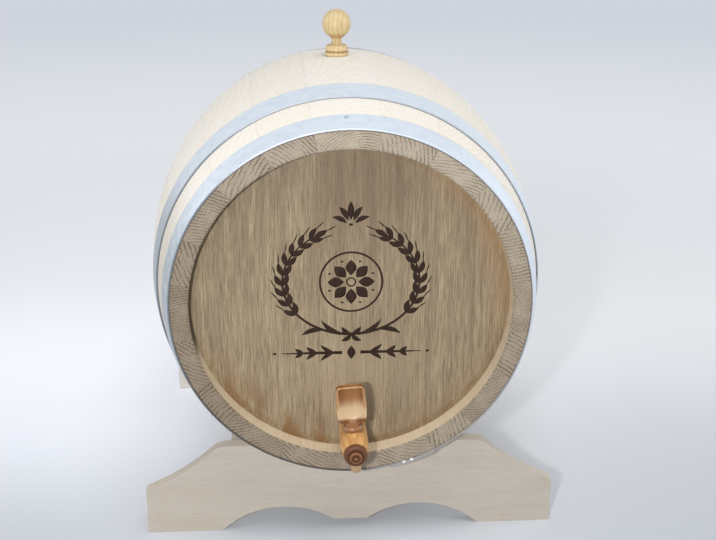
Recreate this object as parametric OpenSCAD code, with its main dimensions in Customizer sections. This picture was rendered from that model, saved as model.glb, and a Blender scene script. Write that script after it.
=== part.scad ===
// Oak cask drink dispenser: a ten litre cask of bent staves with jointed heads, driven
// hoops, a turned wooden tap with a turning key, a ball bung and a two-board cradle.
// The cask axis lies along Y with the tap at -Y. The origin is under the middle of the
// whole object, on the surface that the cradle stands on.

/* [Cask] */
// Length over the two chimes
cask_length = 290; // [240:1:360]
// Outside diameter at the ends of the staves
chime_d = 230; // [190:1:250]
// Outside diameter at the bilge, the widest place
bilge_d = 276; // [266:1:300]
// Number of staves
stave_count = 20; // [16:1:24]
// How much the stave widths differ, as a share of the mean width
width_spread = 0.14; // [0:0.01:0.2]
// Thickness of a stave at the bilge
stave_t = 13; // [9:0.5:16]
// Width of the end face of the staves
chime_w = 11.8; // [9:0.1:14]
// Bevel on the inner edge of the chime
chime_bevel = 0.8; // [0.2:0.1:2]

/* [Heads] */
// Depth of the head below the chime
head_recess = 12; // [10:0.5:24]
// Thickness of a head
head_t = 12; // [9:0.5:16]
// Number of boards in a head
head_boards = 5; // [3:2:7]
// Thickness of the bevelled rim that sits in the croze
rim_t = 4; // [3:0.5:6]
// Depth of the croze groove in the staves
croze_depth = 3.5; // [2:0.1:5]
// Width of the bevel on the inner side of a head
head_bevel_w = 14; // [6:1:20]
// Clearance of the head rim in the croze
croze_fit = 0.1; // [0.05:0.05:0.3]
// Diameter of the dowels between head boards
head_dowel_d = 5; // [4:0.5:6]
// Length of the dowels between head boards
head_dowel_l = 24; // [16:1:28]
// Height of the head dowels above and below the middle
head_dowel_z = 45; // [25:1:55]

/* [Hoops] */
// Thickness of the hoop strip
hoop_t = 1.2; // [0.8:0.1:2]
// Width of a chime hoop
chime_hoop_w = 17; // [12:0.5:22]
// Width of a quarter hoop
quarter_hoop_w = 22; // [14:0.5:28]
// Distance of a quarter hoop from the chime
quarter_hoop_y = 42; // [39:1:60]
// Length of the riveted lap of a hoop, in degrees
hoop_lap = 15; // [10:1:24]
// Distance between the two rivets of a lap
rivet_gap = 8; // [7:0.5:12]
// Diameter of a rivet shank
rivet_d = 3; // [2:0.1:4]
// Diameter of a rivet head
rivet_head_d = 5.6; // [4.5:0.1:6.5]
// Height of a rivet head
rivet_head_h = 1.1; // [0.6:0.1:1.6]
// Diameter of a hoop nail
nail_d = 1.6; // [1.2:0.1:2.2]
// Diameter of a hoop nail's head
nail_head_d = 2.8; // [2.6:0.1:4.5]
// Height of a hoop nail's head
nail_head_h = 0.6; // [0.4:0.1:1]
// How far a nail goes into its stave
nail_bite = 8; // [4:0.5:10]
// Distance of the nails from the inner edge of a chime hoop
nail_edge = 4; // [3:0.5:6]

/* [Tap] */
// Height of the tap axis below the cask axis
tap_drop = 84; // [70:0.5:86]
// Lean of the tap to the left, in degrees, as it was knocked in
tap_lean = 4; // [-8:0.5:8]
// Diameter of the tap shank where it leaves the head
shank_d = 15.6; // [14.4:0.2:16.4]
// Diameter of the shank at its inner end
shank_tip_d = 12.4; // [11:0.2:14]
// Length of the shank inside the cask, from the front of the head
shank_l = 34; // [26:1:44]
// Diameter of the tap body at the key
tap_d = 18.2; // [18.2:0.2:22]
// Distance of the key axis from the front of the head
key_reach = 30; // [28:0.5:42]
// Length of the turned nose in front of the key axis
nose_l = 24; // [20:0.5:28]
// Diameter of the nose face
nose_d = 14.6; // [13:0.2:16]
// Diameter of the button in the middle of the nose
nose_button_d = 8; // [7.4:0.2:9]
// Bore of the tap shank
flow_d = 6.4; // [5:0.2:7]

/* [Tap key] */
// Diameter of the key plug at the top of the tap body
plug_d = 9.6; // [9:0.1:10.4]
// Diameter of the key plug at the bottom of the tap body
plug_tip_d = 8.4; // [7.8:0.1:8.8]
// Wall of the cork sleeve at the bottom, where it is thickest
cork_wall = 2.2; // [1.8:0.1:2.4]
// Running clearance between the key and the cork
key_fit = 0.08; // [0.02:0.01:0.1]
// Diameter of the drink passage in the key
passage_d = 4.4; // [3:0.1:4.8]
// Length of the outlet below the tap body
outlet_l = 13.2; // [8:0.2:18]
// Diameter of the collar bead above the tap body
collar_d = 13.6; // [13.4:0.2:16]
// Height of the collar bead
collar_h = 3.4; // [3:0.2:5]
// Height of the neck between the collar and the grip
neck_h = 2.2; // [2:0.2:4]
// Diameter of the neck
neck_d = 10.6; // [8:0.2:12]
// Width of the grip
grip_w = 19.4; // [16:0.2:24]
// Height of the grip
grip_h = 26; // [20:0.5:34]
// Thickness of the grip at its foot
grip_t = 9; // [7:0.2:10]
// Depth of the thumb hollow at its upper end
thumb_depth = 2.3; // [1:0.1:2.6]

/* [Bung] */
// Sideways place of the bung hole
bung_x = -3; // [-8:0.5:8]
// Diameter of the bung hole at the outside
bung_hole_d = 14; // [12:0.5:14.5]
// Taper of the bung hole, on its diameter, for each millimetre of depth
bung_taper = 0.06; // [0.02:0.01:0.1]
// Clearance of the bung in its hole
bung_fit = 0.1; // [0.05:0.05:0.2]
// Length of the plug below the flange
bung_plug_l = 26; // [18:1:34]
// Diameter of the flange
flange_d = 16.8; // [16.4:0.2:22]
// Height of the flange
flange_h = 8; // [6:0.5:10]
// Diameter of the ball
ball_d = 20.4; // [16:0.2:26]
// Length of the neck between flange and ball
bung_neck_h = 5; // [4:0.5:8]
// Diameter of the neck at its waist
bung_neck_d = 6.8; // [6:0.2:8]

/* [Cradle] */
// Height of the cask axis above the table
axis_height = 175; // [166:1:190]
// Thickness of a cradle board
board_t = 9; // [7:0.5:11]
// Distance from the chime to the outer face of a board
board_inset = 25; // [24:0.5:28]
// Width of a board
board_w = 283; // [260:1:300]
// How deep the cask lies in the saddle between the shoulders
saddle_depth = 13.4; // [9:0.2:20]
// Radius of the rounded outer end of a shoulder
shoulder_r = 14; // [6:1:24]
// Height of a board at its ends
end_h = 33; // [28:1:38]
// Slope of a board's top where it reaches the end, in degrees
end_slope = 22; // [16:1:26]
// Radius of the hollow flank between shoulder and end
flank_r = 157; // [140:1:190]
// Inner end of a foot, measured from the middle
foot_x = 90; // [80:1:98]
// Height of the arches beside the middle
arch_h = 17.5; // [12:0.5:22]
// Distance of the arch tops from the middle
arch_x = 47; // [43:1:50]
// Height of the middle of a board above the table
middle_gap = 6.5; // [5:0.5:9]
// Clearance between the cask and its saddle
saddle_gap = 0.3; // [0.1:0.1:0.6]
// Width of a rail
rail_w = 20; // [16:1:24]
// Height of a rail
rail_h = 24; // [20:1:28]
// Distance of the outer face of a rail from the middle
rail_x = 85; // [78:1:92]
// Gap between a rail and the bilge above it
rail_gap = 9.3; // [4:0.1:12]
// Diameter of the dowels of the cradle
dowel_d = 6; // [5:0.5:8]
// Length of the dowels of the cradle
dowel_l = 24; // [16:1:30]
// How deep a dowel goes into a board
dowel_bite = 6; // [4:0.5:6.5]

/* [Small fits] */
// Gap between a hoop and the staves
hoop_fit = 0.05; // [0.02:0.01:0.1]
// Radial clearance of dowels, nails and rivets in their holes
pin_fit = 0.05; // [0.02:0.01:0.1]

/* [Hidden] */
$fn = 96;
// Steps of the large circles that the long curves are cut from
bow_fn = 720;
eps = 0.01;

half_l = cask_length / 2;
chime_r = chime_d / 2;
bilge_r = bilge_d / 2;
// Radius of the outside of a bent stave, seen from the side
bow_r = (half_l * half_l + pow(bilge_r - chime_r, 2)) / (2 * (bilge_r - chime_r));
// Radius of the straight wall between chime and croze
wall_r = chime_r - chime_w;
// Places along the cask, measured from its middle
head_front = half_l - head_recess;
head_back = head_front - head_t;
// The hollow inside of the staves starts behind the head
belly_r = bilge_r - stave_t;
belly_y = head_back - 2;
belly_bow_r = (belly_y * belly_y + pow(belly_r - wall_r, 2)) / (2 * (belly_r - wall_r));

// Outer bevel of the head, and the rim that it leaves for the croze
front_bevel = 1;
front_bevel_w = 5;
rim_step = 0.5;
rim_front = head_front - front_bevel;
rim_r = wall_r + croze_depth - croze_fit;
board_step = 2 * rim_r / head_boards;

// Front end of the tap, and the shift that centres the object over its origin
tap_front = head_front + key_reach + nose_l;
shift_y = (tap_front - half_l) / 2;

key_y = -(head_front + key_reach);
tap_z = -tap_drop;
// Flats on the tap body above and below the key
flat_z = tap_d / 2 - 0.3;
cork_d = plug_tip_d + 2 * cork_wall;
seat_gap = 0.1;
// Small step where the tap body stops against the head
shoulder_step = 0.4;

// Staves go round from the bung stave; widths differ by a smooth rule
function stave_share(i) = 1 + width_spread * sin(137.5 * i + 80);
function share_before(i) = i == 0 ? 0 : share_before(i - 1) + stave_share(i - 1);
share_sum = share_before(stave_count);
function stave_angle(i) = 360 * stave_share(i) / share_sum;
function stave_start(i) = bung_stave_angle - stave_angle(0) / 2 + 360 * share_before(i) / share_sum;
function stave_middle(i) = stave_start(i) + stave_angle(i) / 2;
bung_stave_angle = 90 + asin(-bung_x / bilge_r);

// Outside radius of the cask at a distance y from its middle
function outside_r(y) = bilge_r - bow_r + sqrt(bow_r * bow_r - y * y);
// Lean of the outside there
function outside_lean(y) = asin(y / bow_r);

// Laps of the four hoops, from front to rear, in degrees round the axis
lap_at = [-70, -125, -60, -115];
hoop_from = [half_l - chime_hoop_w, half_l - quarter_hoop_y - quarter_hoop_w];
hoop_to = [half_l, half_l - quarter_hoop_y];
nail_y = chime_hoop_w - nail_edge;
// Staves that take a hoop nail: the bung stave and two others a third of the way round
nail_staves = [0, round(stave_count / 3), round(2 * stave_count / 3)];

board_front = half_l - board_inset;
board_back = board_front - board_t;
shoulder_h = axis_height - outside_r(board_front) + saddle_depth;
flank_x = board_w / 2 + flank_r * sin(end_slope);
flank_z = end_h + flank_r * cos(end_slope);
// Centre of the shoulder's round end, which touches the flank and the level top
round_z = shoulder_h - shoulder_r;
round_x = flank_x - sqrt(pow(flank_r + shoulder_r, 2) - pow(flank_z - round_z, 2));
arch_r = (pow(foot_x - arch_x, 2) + arch_h * arch_h) / (2 * arch_h);
rail_z = axis_height - sqrt(bilge_r * bilge_r - pow(rail_x - rail_w, 2)) - rail_gap - rail_h;
dowel_z = [rail_z + 0.3 * rail_h, rail_z + 0.7 * rail_h];

function stave_name(i) = str("stave_", i < 9 ? "0" : "", i + 1);

// From the cask's own frame, with its middle at zero, to the object's frame
module placed() {
    translate([0, shift_y, axis_height]) children();
}

// Turns a profile drawn as (radius, distance along the cask) round the cask axis
module turned(from = 0, sweep = 360) {
    rotate([90, 0, 0]) rotate([0, 0, from])
        rotate_extrude(angle = sweep) mirror([0, 1]) children();
}

// A radial place on the outside of the cask, with Z pointing outwards
module on_cask(angle, y) {
    rotate([0, 90 - angle, 0]) translate([0, y, outside_r(y)])
        rotate([-outside_lean(y), 0, 0]) children();
}

// ---- staves ----

module stave_profile() {
    difference() {
        intersection() {
            translate([bilge_r - bow_r, 0]) circle(r = bow_r, $fn = bow_fn);
            translate([wall_r, -half_l]) square([bilge_r, cask_length]);
        }
        translate([belly_r - belly_bow_r, 0]) circle(r = belly_bow_r, $fn = bow_fn);
        for (side = [-1, 1]) {
            translate([wall_r - 1, side * (rim_front - rim_t / 2) - rim_t / 2 - croze_fit])
                square([croze_depth + 1, rim_t + 2 * croze_fit]);
            translate([wall_r, side * half_l]) rotate(45)
                square(chime_bevel * sqrt(2), center = true);
        }
    }
}

module bung_bore() {
    translate([bung_x, 0, bilge_r - 2 * stave_t])
        cylinder(h = 2 * stave_t, d1 = bung_hole_d - 2 * stave_t * bung_taper, d2 = bung_hole_d);
    translate([bung_x, 0, bilge_r - eps]) cylinder(h = 2, d = bung_hole_d);
}

module nail_holes() {
    for (i = nail_staves, side = [-1, 1])
        on_cask(stave_middle(i), side * (half_l - nail_y))
            translate([0, 0, -nail_bite - 0.5]) cylinder(h = nail_bite + 4, d = nail_d + 2 * pin_fit);
}

module stave(i) {
    color(i % 2 == 0 ? "burlywood" : "wheat") placed() difference() {
        turned(stave_start(i), stave_angle(i)) stave_profile();
        if (i == 0) bung_bore();
        nail_holes();
    }
}

// ---- heads ----

module head_disc() {
    turned() polygon([
        [0, head_back], [wall_r - head_bevel_w, head_back], [wall_r - rim_step, rim_front - rim_t],
        [rim_r, rim_front - rim_t], [rim_r, rim_front], [wall_r - rim_step, rim_front],
        [wall_r - front_bevel_w, head_front], [0, head_front]
    ]);
}

module head_dowel_set(clearance) {
    for (joint = [1:head_boards - 1], z = [-1, 1])
        translate([joint * board_step - rim_r, (head_front + head_back) / 2, z * head_dowel_z])
            rotate([0, 90, 0])
                cylinder(h = head_dowel_l + 2 * clearance, d = head_dowel_d + 2 * clearance, center = true);
}

// Tapered hole that the tap shank is driven into
module shank_hole() {
    translate([0, head_front, tap_z]) rotate([90, 0, 0])
        cylinder(h = shank_l, d1 = shank_d + 2 * pin_fit, d2 = shank_tip_d + 2 * pin_fit);
}

module head_board(i, front) {
    color("peru") placed() mirror([0, front ? 1 : 0, 0]) difference() {
        intersection() {
            head_disc();
            translate([(i - 1) * board_step - rim_r, 0, -chime_r])
                cube([board_step, cask_length, chime_d]);
        }
        head_dowel_set(pin_fit);
        if (front) shank_hole();
    }
}

module head_dowels(front) {
    color("tan") placed() mirror([0, front ? 1 : 0, 0]) head_dowel_set(0);
}

// ---- hoops ----

// Section of a hoop between two heights above its inner face
module hoop_section(h, inner, outer) {
    intersection() {
        difference() {
            translate([bilge_r - bow_r, 0]) circle(r = bow_r + hoop_fit + outer, $fn = bow_fn);
            translate([bilge_r - bow_r, 0]) circle(r = bow_r + hoop_fit + inner, $fn = bow_fn);
        }
        translate([wall_r, hoop_from[h]]) square([bilge_r, hoop_to[h] - hoop_from[h]]);
    }
}

// Puts a rivet or its hole at each of the two places of a lap
module at_rivets(h) {
    place = (hoop_from[h] + hoop_to[h]) / 2;
    for (side = [-1, 1])
        on_cask(side * rivet_gap / 2 / outside_r(place) * 180 / PI, place) children();
}

module hoop(h, front, lap) {
    color("lightsteelblue") placed() mirror([0, front ? 1 : 0, 0]) rotate([0, -lap, 0]) difference() {
        union() {
            turned(180) hoop_section(h, 0, hoop_t);
            // the strip's end laps over its beginning
            turned(-hoop_lap / 2, hoop_lap) hoop_section(h, hoop_t / 2, 2 * hoop_t);
        }
        at_rivets(h) translate([0, 0, -hoop_t]) cylinder(h = 5 * hoop_t, d = rivet_d + 2 * pin_fit);
        if (h == 0) rotate([0, lap, 0]) nail_holes();
    }
}

module rivet(gap) {
    top = hoop_fit + 2 * hoop_t;
    translate([0, 0, gap]) cylinder(h = top - gap + rivet_head_h / 2, d = rivet_d);
    dome_r = (pow(rivet_head_d / 2, 2) + rivet_head_h * rivet_head_h) / (2 * rivet_head_h);
    intersection() {
        translate([0, 0, top + rivet_head_h - dome_r]) sphere(r = dome_r);
        translate([0, 0, top + 0.02]) cylinder(h = rivet_head_h + 1, d = rivet_head_d);
    }
}

module hoop_rivets() {
    color("slategray") placed() for (n = [0:3]) {
        front = n < 2;
        h = n == 0 || n == 3 ? 0 : 1;
        mirror([0, front ? 1 : 0, 0]) rotate([0, -lap_at[n], 0]) at_rivets(h) rivet(hoop_fit);
    }
}

module hoop_nails() {
    color("dimgray") placed() for (i = nail_staves, side = [-1, 1])
        on_cask(stave_middle(i), side * (half_l - nail_y)) {
            translate([0, 0, -nail_bite]) cylinder(h = nail_bite + hoop_t + 0.3, d = nail_d);
            translate([0, 0, hoop_t + hoop_fit + 0.02]) cylinder(h = nail_head_h, d = nail_head_d);
        }
}

// ---- tap ----

// Profile of the turned tap body as (radius, distance in front of the head): it swells
// from the shank to a place in front of the key and draws in again to the nose
module tap_profile() {
    nose = key_reach + nose_l;
    body_r = tap_d / 2;
    widest = key_reach + 4;
    // the nose stands on the drawn-in front end and carries its button and a turning centre
    nose_start = nose - 5.6;
    nose_rim = 3.1;
    nose_edge_r = 2.2;
    button_l = 5.2;
    groove_w = 1.2;
    groove_depth = 0.9;
    centre_r = 0.7;
    rear_drop = body_r - shank_d / 2 - shoulder_step;
    rear_r = (widest * widest + rear_drop * rear_drop) / (2 * rear_drop);
    front_drop = body_r - nose_d / 2 - shoulder_step;
    front_r = (pow(nose_start - widest, 2) + front_drop * front_drop) / (2 * front_drop);
    // shank, in the head, and on into the body
    polygon([
        [0, -shank_l], [shank_tip_d / 2, -shank_l], [shank_d / 2, 0], [shank_d / 2, 1], [0, 1]
    ]);
    intersection() {
        translate([body_r - rear_r, widest]) circle(r = rear_r, $fn = bow_fn);
        square([body_r + 1, widest]);
    }
    intersection() {
        translate([body_r - front_r, widest]) circle(r = front_r, $fn = bow_fn);
        translate([0, widest]) square([body_r + 1, nose_start - widest]);
    }
    // nose with a rounded edge and a groove round its button
    difference() {
        translate([0, nose_start]) rounded_end(nose_d / 2, nose_rim, nose_edge_r);
        translate([nose_button_d / 2, nose_start + nose_rim - groove_depth])
            square([groove_w, groove_depth + 1]);
    }
    // button with a dished face
    translate([0, nose_start]) difference() {
        rounded_end(nose_button_d / 2, button_l, 0.7);
        translate([centre_r + 0.6, button_l - groove_depth])
            square([nose_button_d / 2 - 1.1 - centre_r - 0.6, groove_depth + 1]);
    }
    translate([0, nose_start]) square([centre_r, nose - nose_start]);
}

// Half section of a disc with a rounded upper edge
module rounded_end(r, h, edge_r) {
    square([r - edge_r, h]);
    square([r, h - edge_r]);
    translate([r - edge_r, h - edge_r]) intersection() {
        circle(r = edge_r);
        square(edge_r);
    }
}

module along_tap() {
    translate([0, -head_front, tap_z]) rotate([90, 0, 0]) children();
}

// The frame of the key: its axis is Z, and zero is where it crosses the tap's axis
module at_key() {
    translate([0, key_y, tap_z]) rotate([0, -tap_lean, 0]) children();
}

module tap_body() {
    color("sienna") placed() difference() {
        along_tap() rotate_extrude() tap_profile();
        at_key() {
            // flats above and below the key
            for (side = [-1, 1]) translate([0, 0, side * (flat_z + tap_d / 2)])
                cube([2 * tap_d, collar_d + 2, tap_d], center = true);
            // bore for the cork
            translate([0, 0, -tap_d]) cylinder(h = 2 * tap_d, d = cork_d + 2 * pin_fit);
        }
        // the drink passage from the cask
        along_tap() translate([0, 0, -shank_l - 1])
            cylinder(h = shank_l + 1 + key_reach, d = flow_d);
    }
}

module plug_cone(clearance) {
    cylinder(h = 2 * flat_z, d1 = plug_tip_d + 2 * clearance, d2 = plug_d + 2 * clearance);
}

module tap_cork_sleeve() {
    color("tan") placed() at_key() difference() {
        translate([0, 0, -flat_z]) cylinder(h = 2 * flat_z, d = cork_d);
        translate([0, 0, -flat_z]) plug_cone(key_fit);
        // port on the side of the cask
        rotate([-90, 0, 0]) cylinder(h = cork_d, d = passage_d);
    }
}

// Front view of the grip: straight sides, small upper corners and round lower ones
module grip_outline() {
    corner_r = 3;
    side_r = 7;
    foot_r = 4.5;
    top_w = grip_w - 1.4;
    foot_w = grip_w - 1;
    hull() {
        for (side = [-1, 1]) {
            translate([side * (top_w / 2 - corner_r), grip_h - corner_r]) circle(r = corner_r);
            translate([side * (grip_w / 2 - side_r), grip_h / 2]) circle(r = side_r);
            translate([side * (foot_w / 2 - foot_r), foot_r]) circle(r = foot_r);
        }
    }
}

// Thumb hollow, cut from the front: its floor is upright under the upper edge of the
// grip and runs out in a curve below
module thumb_hollow() {
    half_w = grip_w / 2 - 1.5;
    rim = 1.2;
    corner_r = 2.6;
    top = grip_h - rim;
    foot = 0.12 * grip_h;
    level = 0.5 * grip_h;
    run = level - foot;
    reach = (half_w * half_w - thumb_depth * thumb_depth) / (2 * thumb_depth);
    run_r = (run * run + thumb_depth * thumb_depth) / (2 * thumb_depth);
    intersection() {
        translate([0, -reach, 0]) rotate_extrude() {
            translate([0, level]) square([reach + thumb_depth, top + 1 - level]);
            intersection() {
                translate([reach + thumb_depth - run_r, level]) circle(r = run_r, $fn = bow_fn);
                translate([0, foot - 1]) square([reach + thumb_depth + 1, run + 1]);
            }
        }
        rotate([90, 0, 0]) linear_extrude(height = 4 * thumb_depth, center = true)
            for (side = [0, 1]) mirror([side, 0]) rounded_end(half_w + 0.3, top, corner_r);
    }
}

module grip() {
    half_t = grip_t / 2;
    // above this height the grip thins at the back
    taper_z = grip_h * 0.3;
    back_taper = 4.6;
    edge = 0.6;
    difference() {
        intersection() {
            rotate([90, 0, 0]) linear_extrude(height = grip_t + 2, center = true) grip_outline();
            rotate([90, 0, 90]) linear_extrude(height = grip_w + 2, center = true)
                polygon([
                    [-half_t, 0], [half_t, 0], [half_t, taper_z], [half_t - back_taper, grip_h],
                    [-half_t + edge, grip_h], [-half_t, grip_h - edge]
                ]);
        }
        translate([0, -half_t, 0]) thumb_hollow();
    }
}

module tap_key() {
    outlet_d = plug_tip_d - 1;
    // height of the outlet's rounded end
    round_h = outlet_d / 3;
    port_d = passage_d - 0.4;
    color("peru") placed() at_key() difference() {
        union() {
            translate([0, 0, -flat_z]) plug_cone(0);
            // outlet with a rounded end
            translate([0, 0, -flat_z - outlet_l + round_h]) {
                cylinder(h = outlet_l - round_h + eps, d = outlet_d);
                intersection() {
                    sphere(d = outlet_d);
                    translate([0, 0, -round_h]) cylinder(h = round_h + eps, d = outlet_d);
                }
            }
            // collar bead, neck and grip
            translate([0, 0, flat_z + seat_gap]) {
                cylinder(h = collar_h / 2, d1 = collar_d - 1.4, d2 = collar_d);
                translate([0, 0, collar_h / 2]) cylinder(h = collar_h / 2, d1 = collar_d, d2 = neck_d + 1);
                translate([0, 0, collar_h + neck_h]) grip();
            }
            translate([0, 0, flat_z - eps]) cylinder(h = collar_h + neck_h + 1, d = neck_d - 1);
        }
        // drink passage: in at the side, out at the bottom
        translate([0, 0, -flat_z - outlet_l - 1])
            cylinder(h = flat_z + outlet_l + 1 + passage_d / 2, d = passage_d);
        rotate([0, 90, 0]) cylinder(h = plug_d, d = port_d);
    }
}

// ---- bung ----

// Half section of the bung above its seat: a grooved flange with a round shoulder, a
// waisted neck and a ball
module bung_profile() {
    seat = 0.05;
    edge = 0.5;
    groove_depth = 1.1;
    groove_from = 0.32 * flange_h;
    groove_to = 0.46 * flange_h;
    neck_foot = 1.8;
    cove_r = 0.6 * bung_neck_h;
    neck_mid = flange_h + bung_neck_h / 2;
    ball_z = flange_h + bung_neck_h + ball_d / 2 - 1;
    r = flange_d / 2;
    translate([0, seat]) difference() {
        union() {
            square([r - groove_depth, groove_to + edge]);
            translate([0, edge]) square([r, groove_from - edge]);
            translate([0, groove_to]) rounded_end(r - 0.3, flange_h - groove_to, 3);
            translate([0, flange_h - edge])
                square([bung_neck_d / 2 + neck_foot, bung_neck_h + 2 * edge]);
            intersection() {
                translate([0, ball_z]) circle(d = ball_d);
                translate([0, ball_z - ball_d]) square([ball_d, 2 * ball_d]);
            }
        }
        translate([bung_neck_d / 2 + cove_r, neck_mid]) circle(r = cove_r);
    }
}

module bung() {
    color("moccasin") placed() translate([bung_x, 0, bilge_r]) {
        rotate_extrude() bung_profile();
        translate([0, 0, -bung_plug_l])
            cylinder(h = bung_plug_l + 0.1, d1 = bung_hole_d - 2 * bung_fit - bung_plug_l * bung_taper,
                     d2 = bung_hole_d - 2 * bung_fit);
    }
}

// ---- cradle ----

// What comes off the sharp outer end of a shoulder
module shoulder_corner() {
    reach = shoulder_r / (flank_r + shoulder_r);
    touch_x = round_x + (flank_x - round_x) * reach;
    touch_z = round_z + (flank_z - round_z) * reach;
    difference() {
        polygon([
            [round_x, round_z], [touch_x, touch_z],
            [touch_x, shoulder_h + 1], [round_x, shoulder_h + 1]
        ]);
        translate([round_x, round_z]) circle(r = shoulder_r);
    }
}

module board_outline() {
    difference() {
        translate([-board_w / 2, 0]) square([board_w, shoulder_h]);
        for (side = [0, 1]) mirror([side, 0]) {
            translate([flank_x, flank_z]) circle(r = flank_r, $fn = bow_fn);
            shoulder_corner();
            translate([arch_x, arch_h - arch_r]) circle(r = arch_r, $fn = bow_fn);
        }
        translate([-arch_x, -1]) square([2 * arch_x, middle_gap + 1]);
    }
}

module dowel_set(clearance) {
    for (x = [-1, 1], side = [-1, 1], z = dowel_z)
        translate([x * (rail_x - rail_w / 2), side * (board_back + dowel_bite - dowel_l / 2), z - axis_height])
            rotate([90, 0, 0])
                cylinder(h = dowel_l + 2 * clearance, d = dowel_d + 2 * clearance, center = true);
}

module cradle_board(front) {
    color("bisque") placed() mirror([0, front ? 1 : 0, 0]) difference() {
        translate([0, board_front, -axis_height]) rotate([90, 0, 0])
            linear_extrude(height = board_t) board_outline();
        // saddle, cut to the outside of the cask
        turned() intersection() {
            translate([bilge_r - bow_r, 0]) circle(r = bow_r + saddle_gap, $fn = bow_fn);
            translate([0, -half_l]) square([bilge_r + 1, cask_length]);
        }
        dowel_set(pin_fit);
    }
}

module cradle_rail(side) {
    color("bisque") placed() difference() {
        translate([side * (rail_x - rail_w / 2) - rail_w / 2, -board_back, rail_z - axis_height])
            cube([rail_w, 2 * board_back, rail_h]);
        dowel_set(pin_fit);
    }
}

module cradle_dowels() {
    color("tan") placed() dowel_set(0);
}

// ---- nodes ----

for (i = [0:stave_count - 1])
    stave(i);
for (i = [1:head_boards]) {
    head_board(i, true);
    head_board(i, false);
}
head_dowels(true);  // front_head_dowels
head_dowels(false);  // rear_head_dowels
hoop(0, true, lap_at[0]);  // front_chime_hoop
hoop(1, true, lap_at[1]);  // front_quarter_hoop
hoop(1, false, lap_at[2]);  // rear_quarter_hoop
hoop(0, false, lap_at[3]);  // rear_chime_hoop
hoop_rivets();
hoop_nails();
tap_body();
tap_cork_sleeve();
tap_key();
bung();
cradle_board(true);  // cradle_front_board
cradle_board(false);  // cradle_rear_board
cradle_rail(-1);  // cradle_left_rail
cradle_rail(1);  // cradle_right_rail
cradle_dowels();
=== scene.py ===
# %% [markdown]
# # A small oak cask with a turned tap
#
# The construction model brings every stave, head board, hoop and turned piece at its real
# size. This lesson dresses them: pale sanded staves with weathered end grain, brown head
# boards with a burnt ornament, galvanised hoops, an oiled tap and a plain beech cradle.
# Wood is the whole subject here, so most of the lesson is about one idea: a board is a
# block cut out of a tree, and its grain is worked out in three dimensions.

# %% Load the construction model
import math
import bpy
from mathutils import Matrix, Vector


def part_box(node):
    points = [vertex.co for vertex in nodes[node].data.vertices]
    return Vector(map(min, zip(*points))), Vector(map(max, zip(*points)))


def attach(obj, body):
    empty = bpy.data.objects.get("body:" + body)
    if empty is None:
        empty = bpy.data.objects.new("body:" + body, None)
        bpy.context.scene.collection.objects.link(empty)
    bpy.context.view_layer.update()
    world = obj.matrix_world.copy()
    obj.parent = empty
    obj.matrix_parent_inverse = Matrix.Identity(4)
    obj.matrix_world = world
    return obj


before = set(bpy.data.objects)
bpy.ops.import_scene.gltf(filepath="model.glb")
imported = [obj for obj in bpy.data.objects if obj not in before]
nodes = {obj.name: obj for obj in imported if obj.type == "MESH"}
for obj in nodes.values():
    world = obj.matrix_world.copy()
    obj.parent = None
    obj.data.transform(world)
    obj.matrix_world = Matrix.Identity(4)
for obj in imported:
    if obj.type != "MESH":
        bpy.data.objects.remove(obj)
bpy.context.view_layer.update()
bpy.ops.object.select_all(action="DESELECT")

# %% [markdown]
# ## Where things are
#
# Patterns have to know where the cask's axis is, where a stave ends and where its inner
# wall begins. All of that is measured on the model itself, so a cask of another size
# would get the same finish. Lengths are metres, as in Blender; patterns use millimetres.

# %% Measure the cask
MM = 0.001
# vertices closer to a plane than this lie on it
ON_PLANE = 0.01 * MM
AXIS_Z = sum(corner.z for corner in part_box("front_head_board_3")) / 2
HEAD_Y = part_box("front_head_board_3")[0].y
FRONT_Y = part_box("front_chime_hoop")[0].y
REAR_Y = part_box("rear_chime_hoop")[1].y
CASK_MIDDLE = Vector((0, (FRONT_Y + REAR_Y) / 2, AXIS_Z))
HALF_LENGTH = (REAR_Y - FRONT_Y) / 2 / MM


def radius_of(point):
    """The distance of a point from the cask's axis, in metres."""
    return math.hypot(point.x, point.z - AXIS_Z)


end_radii = [
    radius_of(vertex.co) / MM
    for vertex in nodes["stave_06"].data.vertices
    if vertex.co.y < FRONT_Y + ON_PLANE
]
WALL_R = min(end_radii)
CHIME_R = max(end_radii)
print(f"axis at {AXIS_Z:.4f} m, end face from {WALL_R:.1f} to {CHIME_R:.1f} mm")

# %% [markdown]
# ## Shader maths as plain expressions
#
# A material is a drawing of nodes and links, and long formulas are hard to read there.
# A small class wraps an output socket, so that `1 - mask` or `rings * 0.3 + fibres` adds
# the Math nodes by itself. A second class holds one material and adds every other node
# through one method, which takes the node's type, its settings and its inputs.

# %% A socket that understands arithmetic


def operator(operation, swapped=False):
    """Makes a method that adds one Math node for a Python operator."""

    def method(self, other):
        pair = (other, self) if swapped else (self, other)
        return self.finish.math(operation, *pair)

    return method


class Signal:
    """An output socket of a finish."""

    def __init__(self, finish, socket):
        self.finish = finish
        self.socket = socket

    __add__ = operator("ADD")
    __radd__ = operator("ADD")
    __sub__ = operator("SUBTRACT")
    __rsub__ = operator("SUBTRACT", swapped=True)
    __mul__ = operator("MULTIPLY")
    __rmul__ = operator("MULTIPLY")
    __truediv__ = operator("DIVIDE")
    __rtruediv__ = operator("DIVIDE", swapped=True)

    def __abs__(self):
        return self.finish.math("ABSOLUTE", self)


# %% A finish: one material and the nodes behind it


def paint(red, green, blue):
    """A colour as a screen shows it, turned into the linear colour that shaders use."""
    channels = [c / 255 for c in (red, green, blue)]
    linear = [c / 12.92 if c <= 0.04045 else ((c + 0.055) / 1.055) ** 2.4 for c in channels]
    return (*linear, 1)


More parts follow.
